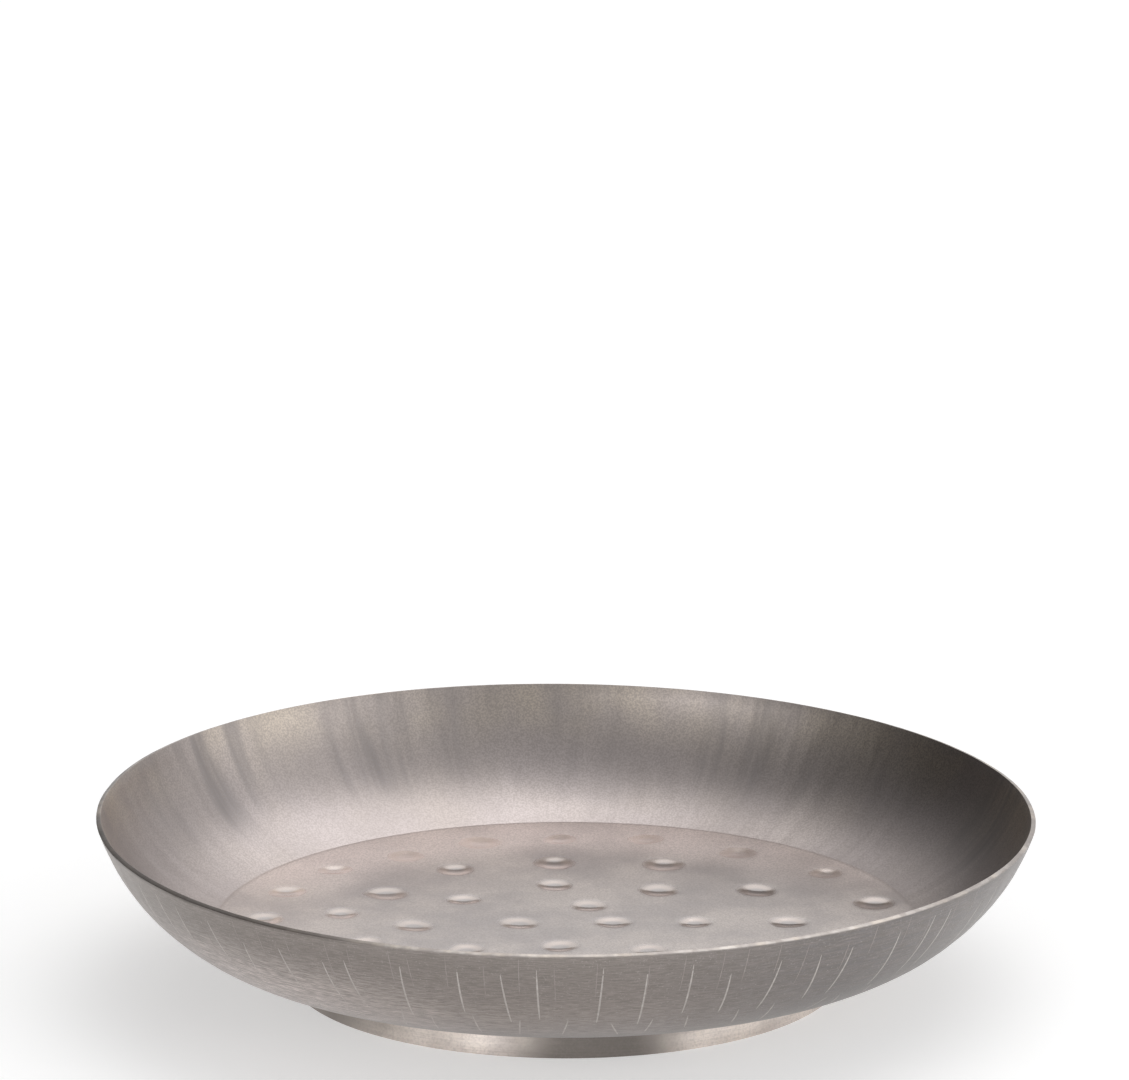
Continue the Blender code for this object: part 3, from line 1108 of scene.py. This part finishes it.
def foot_metal(colours):
    """The foot ring: drawn strip, lined along its length, with a painted dark reflection at its front and
    painted shade on its left.
    """
    material, tree, shader, place = metal_material("foot_silver")
    lines = brushing_of(tree, place, 0.25 * MM, 6.0)
    grain = grain_of(tree, place, 0.45 * MM)
    aged = aged_metal(tree, place, (colours.strip, colours.clean, colours.warm), 9.0 * MM, 0.5, 0.3)
    # Painted reflection: a dark patch at the front of the ring, a little right of the middle.
    dark_reflection_middle = (0.11 * FOOT_RADIUS, -FOOT_RADIUS, 0.0)
    from_dark_reflection = vector_calc(tree, "LENGTH", vector_calc(tree, "SUBTRACT", place, dark_reflection_middle))
    dark_reflection_share = remap(tree, from_dark_reflection, 6.0 * MM, 20.0 * MM, 0.95, 0.0)
    reflection_darkened = mix_colour(tree, dark_reflection_share, aged["Colour"], colours.joint)
    _, _, way_right, _ = polar(tree, place)
    # Painted shade: darker towards the left of the ring.
    shaded_left = mix_colour(tree, remap(tree, way_right, -0.85, -0.5, 0.75, 0.0), reflection_darkened, colours.joint)
    brushed = mix_colour(tree, times(tree, remap(tree, lines, 0.35, 0.75), 0.25), shaded_left, colours.grey)
    flecked = mix_colour(tree, times(tree, remap(tree, grain, 0.4, 0.7), 0.25), brushed, colours.grey)
    dress(tree, shader, flecked, times_plus(tree, aged["Dullness"], 0.1, 0.38))
    relief(tree, shader, blend_values(tree, grain, 0.8, lines, 1.0), 0.02 * MM)
    return material


def solder_metal(colours):
    """Dull, slightly pitted solder."""
    material, tree, shader, place = metal_material("solder_grey")
    grain = grain_of(tree, place, 0.5 * MM)
    aged = aged_metal(tree, place, (colours.solder, colours.grey, colours.warm), 4.0 * MM, 0.6, 0.3)
    dress(tree, shader, aged["Colour"], times_plus(tree, grain, 0.2, 0.36))
    relief(tree, shader, grain, 0.04 * MM)
    return material


# ---------------------------------------------------------------- making pieces


def apply_tree(source, tree, name, values):
    """Run a node tree on an object and keep the result as a plain mesh piece at the origin."""
    modifier = source.modifiers.new(name, "NODES")
    modifier.node_group = tree
    for item in tree.interface.items_tree:
        if item.in_out == "INPUT" and item.name in values:
            modifier[item.identifier] = values[item.name]
    graph = bpy.context.evaluated_depsgraph_get()
    mesh = bpy.data.meshes.new_from_object(source.evaluated_get(graph), depsgraph=graph)
    mesh.name = name
    source.modifiers.remove(modifier)
    if not mesh.polygons:
        raise RuntimeError(f"{name} came out empty")
    return add_object(name, mesh)


def remove_helpers(*helpers):
    """Remove the objects that only fed a node tree."""
    for helper in helpers:
        bpy.data.objects.remove(helper)


def finish_piece(piece, sharp=20.0, replaces=()):
    """Turn a piece's faces outward, shade it, and hand it to the frame."""
    mesh = piece.data
    wanted = [metal for metal in mesh.materials if metal]
    order = {number: wanted.index(metal) for number, metal in enumerate(mesh.materials) if metal}
    numbers = [order[face.material_index] for face in mesh.polygons]
    mesh.materials.clear()
    for metal in wanted:
        mesh.materials.append(metal)
    mesh.polygons.foreach_set("material_index", numbers)
    bm = bmesh.new()
    bm.from_mesh(mesh)
    if bm.calc_volume(signed=True) < 0.0:
        bmesh.ops.reverse_faces(bm, faces=bm.faces)
    bm.to_mesh(mesh)
    bm.free()
    mesh.shade_smooth()
    mesh.set_sharp_from_angle(angle=radians(sharp))
    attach(piece, BODY)
    if replaces:
        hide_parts(*replaces)


def mark_points():
    """The middle of every hammer mark, in metres."""
    return [(x * MM, y * MM, 0.0) for y, row in MARK_ROWS for x in row]


class PATEN_OT_dish(bpy.types.Operator):
    """Make the raised dish with its hammered floor, crease, wall and rim"""

    bl_idname = "paten.dish"
    bl_label = "Dish"

    def execute(self, context):
        scene = context.scene
        sizes, marks, colours = scene.paten_dish, scene.paten_marks, scene.paten_colours
        outline = outline_object("dish_outline", dish_outline(sizes))
        mark_spots = points_object("hammer_mark_spots", mark_points())
        dish = apply_tree(
            outline, dish_group(), "raised_dish",
            {
                "Marks": mark_spots, "Round Steps": sizes.round_steps, "Rim Height": RIM_HEIGHT,
                "Floor Radius": sizes.floor_radius,
                "Floor Height": UNDERSIDE_HEIGHT + sizes.sheet,
                "Underside Radius": sizes.floor_radius - UNDERSIDE_INSET,
                "Underside Height": UNDERSIDE_HEIGHT,
                "Foot Radius": FOOT_RADIUS,
                **{"Mark " + name.title(): getattr(marks, name) for name in MarkSizes.__annotations__},
                "Flute": sizes.flute, "Uneven": sizes.uneven, "Rim Tilt": sizes.rim_tilt,
                "Rim Saddle": sizes.rim_saddle,
                "Outside Metal": outside_metal(colours), "Rim Metal": rim_metal(colours),
                "Inside Metal": inside_metal(colours),
                "Floor Metal": floor_metal(colours, sizes.floor_radius),
            },
        )
        remove_helpers(outline, mark_spots)
        finish_piece(dish, replaces=("dish",))
        return {"FINISHED"}


# The tiers of strokes: name, share of the full width, wear, and how the strokes are spread up the wall.
STROKE_TIERS = (
    (
        "strokes_upper", 0.5, 0.8,
        {"Count": 80, "Middle": 0.84, "Middle Spread": 0.06, "Length": 0.30, "Length Spread": 0.08,
         "Slant": 0.004, "Seed": 11},
    ),
    (
        "strokes_main", 0.95, 0.25,
        {"Count": 62, "Middle": 0.66, "Middle Spread": 0.035, "Length": 0.45, "Length Spread": 0.09,
         "Slant": 0.012, "Seed": 23},
    ),
    (
        "strokes_lower", 0.8, 0.35,
        {"Count": 60, "Middle": 0.32, "Middle Spread": 0.035, "Length": 0.24, "Length Spread": 0.06,
         "Slant": 0.03, "Seed": 37},
    ),
)


class PATEN_OT_strokes(bpy.types.Operator):
    """Chase the three tiers of fine strokes into the outside of the wall"""

    bl_idname = "paten.strokes"
    bl_label = "Chased strokes"

    def execute(self, context):
        scene = context.scene
        sizes = scene.paten_strokes
        dish = bpy.data.objects.get("raised_dish")
        if dish is None:
            raise RuntimeError("make the dish before its strokes")
        wall = [(point, PART_OUTSIDE) for point in outer_wall_outline(scene.paten_dish)]
        tree = strokes_group()
        for name, width, wear, spread in STROKE_TIERS:
            outline = outline_object(name + "_outline", wall)
            values = {
                "Dish": dish, "Steps": sizes.steps, "Width": sizes.width * width, "Proud": sizes.proud,
                "Metal": stroke_metal(scene.paten_colours, name + "_silver", wear),
            }
            piece = apply_tree(outline, tree, name, {**values, **spread})
            remove_helpers(outline)
            finish_piece(piece, sharp=60.0)
        return {"FINISHED"}


# How far the solder reaches into the foot and the underside, how full its face is, and how it ripples.
SOLDER_SINK = 0.1 * MM
SOLDER_LIFT = 0.02 * MM
SOLDER_FULLNESS = 0.12
SOLDER_RIPPLE = 0.7


def ring_piece(name, outline, steps, middle, level, wander, ripple, metal):
    """A ring made by hand, from the closed outline of its cut end as radii and heights."""
    closed = [(Vector(corner), PART_OUTSIDE) for corner in outline + outline[:1]]
    source = outline_object(name + "_outline", closed)
    piece = apply_tree(
        source, shared_group(ring_group), name,
        {
            "Round Steps": steps, "Middle Radius": middle, "Level": level,
            "Wander": wander, "Ripple": ripple, "Metal": metal,
        },
    )
    remove_helpers(source)
    return piece


class PATEN_OT_foot(bpy.types.Operator):
    """Make the foot ring from a bent strip"""

    bl_idname = "paten.foot"
    bl_label = "Foot ring"

    def execute(self, context):
        sizes = context.scene.paten_foot
        inner = FOOT_RADIUS - sizes.strip
        top = FOOT_HIGH[2]
        edge = sizes.edge
        corners = [Vector((inner, 0.0)), Vector((FOOT_RADIUS, 0.0))]
        outline = [corners[0] + Vector((edge, 0.0)), corners[1] - Vector((edge, 0.0))]
        outline += rounded_corner(outline[-1], corners[1], corners[1] + Vector((0.0, edge)), 4)
        outline.append(corners[1] + Vector((0.0, edge)))
        levels = (0.25, 0.5, 0.75, 1.0)
        outline += [Vector((FOOT_RADIUS - level * sizes.flare, level * top)) for level in levels]
        outline += [Vector((inner - level * sizes.flare, level * top)) for level in reversed(levels)]
        outline.append(corners[0] + Vector((0.0, edge)))
        outline += rounded_corner(outline[-1], corners[0], outline[0], 4)
        piece = ring_piece(
            "foot_band", outline, sizes.round_steps, FOOT_RADIUS, 0.0, sizes.wander, 0.0,
            foot_metal(context.scene.paten_colours),
        )
        finish_piece(piece, sharp=40.0, replaces=("foot_ring",))
        return {"FINISHED"}


class PATEN_OT_solder(bpy.types.Operator):
    """Run the solder fillets outside and inside the foot ring"""

    bl_idname = "paten.solder"
    bl_label = "Solder fillets"

    def execute(self, context):
        sizes = context.scene.paten_foot
        metal = solder_metal(context.scene.paten_colours)
        sides = (
            ("solder_outside", "solder_fillet_outer", FOOT_RADIUS, 1.0),
            ("solder_inside", "solder_fillet_inner", FOOT_RADIUS - sizes.strip, -1.0),
        )
        for name, node, wall, outward in sides:
            sunk = wall - outward * (SOLDER_SINK + max(0.0, outward) * sizes.flare)
            top = UNDERSIDE_HEIGHT + SOLDER_LIFT
            foot = Vector((wall, top - sizes.solder))
            toe = Vector((wall + outward * sizes.solder, top))
            full = SOLDER_FULLNESS * sizes.solder
            hollow = Vector((wall + outward * full, top - full))
            outline = [Vector((sunk, top)), Vector((sunk, foot.y)), foot]
            outline += rounded_corner(foot, hollow, toe, 5) + [toe]
            piece = ring_piece(
                name, outline, sizes.round_steps, wall, top, sizes.wander, SOLDER_RIPPLE, metal
            )
            finish_piece(piece, sharp=50.0, replaces=(node,))
        return {"FINISHED"}


# ---------------------------------------------------------------- stage


def floor_material(tint, glow):
    """A pale matt light table with the faintest mottling."""
    material = bpy.data.materials.new("pale_floor")
    material.use_nodes = True
    tree = material.node_tree
    shader = tree.nodes["Principled BSDF"]
    place = tree.nodes.new("ShaderNodeTexCoord").outputs["Object"]
    mottle = remap(tree, noise(tree, place, 1.3, 3.0), 0.3, 0.7, 0.0, 0.03)
    tree.links.new(mix_colour(tree, mottle, tint, FLOOR_MOTTLE), shader.inputs["Base Color"])
    shader.inputs["Roughness"].default_value = 0.9
    shader.inputs["Emission Color"].default_value = (1.0, 1.0, 1.0, 1.0)
    shader.inputs["Emission Strength"].default_value = glow
    return material


LAMP_PLACE = (0.32, 0.55, 1.0)
LAMP_SIZE = 0.9
FLOOR_MOTTLE = (0.7, 0.7, 0.7)

# The soft glows all round: way round from the front in degrees (right is positive), height in degrees,
# narrowness, strength.
GLOWS = (
    (-30.0, 5.0, 14.0, 2.1),
    (0.0, 5.0, 14.0, 0.1),
    (60.0, 5.0, 14.0, 1.15),
    (90.0, 5.0, 14.0, 0.9),
    (150.0, 5.0, 14.0, 0.5),
    (180.0, 5.0, 14.0, 0.36),
    (-45.0, 28.0, 8.0, 0.4),
    (0.0, 28.0, 8.0, 0.15),
    (45.0, 28.0, 8.0, 0.45),
    (90.0, 28.0, 8.0, 0.4),
    (135.0, 28.0, 8.0, 0.27),
    (180.0, 28.0, 8.0, 0.3),
    (0.0, 58.0, 8.0, 0.12),
    (120.0, 58.0, 8.0, 0.55),
    (180.0, 58.0, 8.0, 1.1),
    (0.0, 90.0, 8.0, 0.4),
)


def glow_shader():
    """A soft round glow in one direction."""
    tree, given, result = new_group(
        "Soft glow", "ShaderNodeTree",
        {"vector": ("Direction", "Middle"), "float": ("Narrowness", "Strength")}, {"float": ("Glow",)},
    )
    facing = minus(tree, vector_calc(tree, "DOT_PRODUCT", given["Direction"], given["Middle"]), 1.0)
    glow = calc(tree, "EXPONENT", times(tree, facing, given["Narrowness"]))
    feed(tree, result["Glow"], times(tree, glow, given["Strength"]))
    return tree


def soft_surround(strength):
    """Light all round, as from large diffusers, low and high."""
    world = bpy.data.worlds.new("soft_surround")
    world.use_nodes = True
    tree = world.node_tree
    direction = tree.nodes.new("ShaderNodeTexCoord").outputs["Generated"]
    group = glow_shader()
    light = 0.0
    for way_round, height, narrowness, power in GLOWS:
        turn, rise = radians(way_round), radians(height)
        middle = (sin(turn) * cos(rise), -cos(turn) * cos(rise), sin(rise))
        links = {"Direction": direction, "Middle": middle, "Narrowness": narrowness, "Strength": power}
        light = plus(tree, light, place_group(tree, group, links)["Glow"])
    background = tree.nodes["Background"]
    background.inputs["Color"].default_value = (1.0, 1.0, 1.0, 1.0)
    tree.links.new(times(tree, light, strength), background.inputs["Strength"])
    return world


def face(found, place, aim):
    """Put a lamp or a camera at a place, and point it at another."""
    found.location = place
    found.rotation_euler = (aim - place).to_track_quat("-Z", "Y").to_euler()


def soft_light(name, place, aim, size, power):
    """A square soft light that shines at a point."""
    lamp = bpy.data.lights.new(name, "AREA")
    lamp.shape = "SQUARE"
    lamp.size = size
    lamp.energy = power
    face(add_object(name, lamp), Vector(place), Vector(aim))


class PATEN_OT_stage(bpy.types.Operator):
    """Set up the pale floor, the soft light and the camera"""

    bl_idname = "paten.stage"
    bl_label = "Stage"

    def execute(self, context):
        scene = context.scene
        studio = scene.paten_studio
        half = 0.5 * studio.floor_size
        mesh = bpy.data.meshes.new("studio_floor")
        corners = [(-half, -half, 0.0), (half, -half, 0.0), (half, half, 0.0), (-half, half, 0.0)]
        mesh.from_pydata(corners, [], [(0, 1, 2, 3)])
        mesh.materials.append(floor_material(studio.floor_colour, studio.floor_glow))
        add_object("studio_floor", mesh)
        scene.world = soft_surround(studio.sky)
        soft_light("overhead_light", LAMP_PLACE, (0.0, 0.0, 0.0), LAMP_SIZE, studio.key)
        camera_data = bpy.data.cameras.new("camera")
        camera_data.lens = studio.lens
        camera_data.sensor_width = 36.0
        camera_data.clip_start = 0.05
        camera_data.clip_end = 40.0
        camera = add_object("camera", camera_data)
        target = Vector((studio.look_across, 0.0, studio.look_height))
        back = Vector((0.0, -cos(studio.elevation), sin(studio.elevation)))
        face(camera, target + studio.distance * back, target)
        scene.camera = camera
        scene.view_settings.view_transform = "Standard"
        return {"FINISHED"}


class PATEN_PT_panel(bpy.types.Panel):
    """Buttons that make each part of the plate"""

    bl_idname = "PATEN_PT_panel"
    bl_label = "Paten Plate"
    bl_space_type = "VIEW_3D"
    bl_region_type = "UI"
    bl_category = "Paten"

    def draw(self, context):
        for maker in MAKERS:
            self.layout.operator(maker.bl_idname)
        for name, group in SETTINGS.items():
            box = self.layout.box()
            for prop in group.__annotations__:
                box.prop(getattr(context.scene, name), prop)


MAKERS = (PATEN_OT_dish, PATEN_OT_strokes, PATEN_OT_foot, PATEN_OT_solder, PATEN_OT_stage)
CLASSES = (*SETTINGS.values(), *MAKERS, PATEN_PT_panel)


def register():
    """Register the classes and their settings."""
    for found in CLASSES:
        bpy.utils.register_class(found)
    for name, group in SETTINGS.items():
        setattr(bpy.types.Scene, name, PointerProperty(type=group))


def unregister():
    """Remove the settings and the classes."""
    for name in SETTINGS:
        delattr(bpy.types.Scene, name)
    for found in reversed(CLASSES):
        bpy.utils.unregister_class(found)


def main():
    """Make the plate and its stage."""
    register()
    bpy.ops.paten.dish()
    bpy.ops.paten.strokes()
    bpy.ops.paten.foot()
    bpy.ops.paten.solder()
    bpy.ops.paten.stage()


if __name__ == "__main__":
    main()
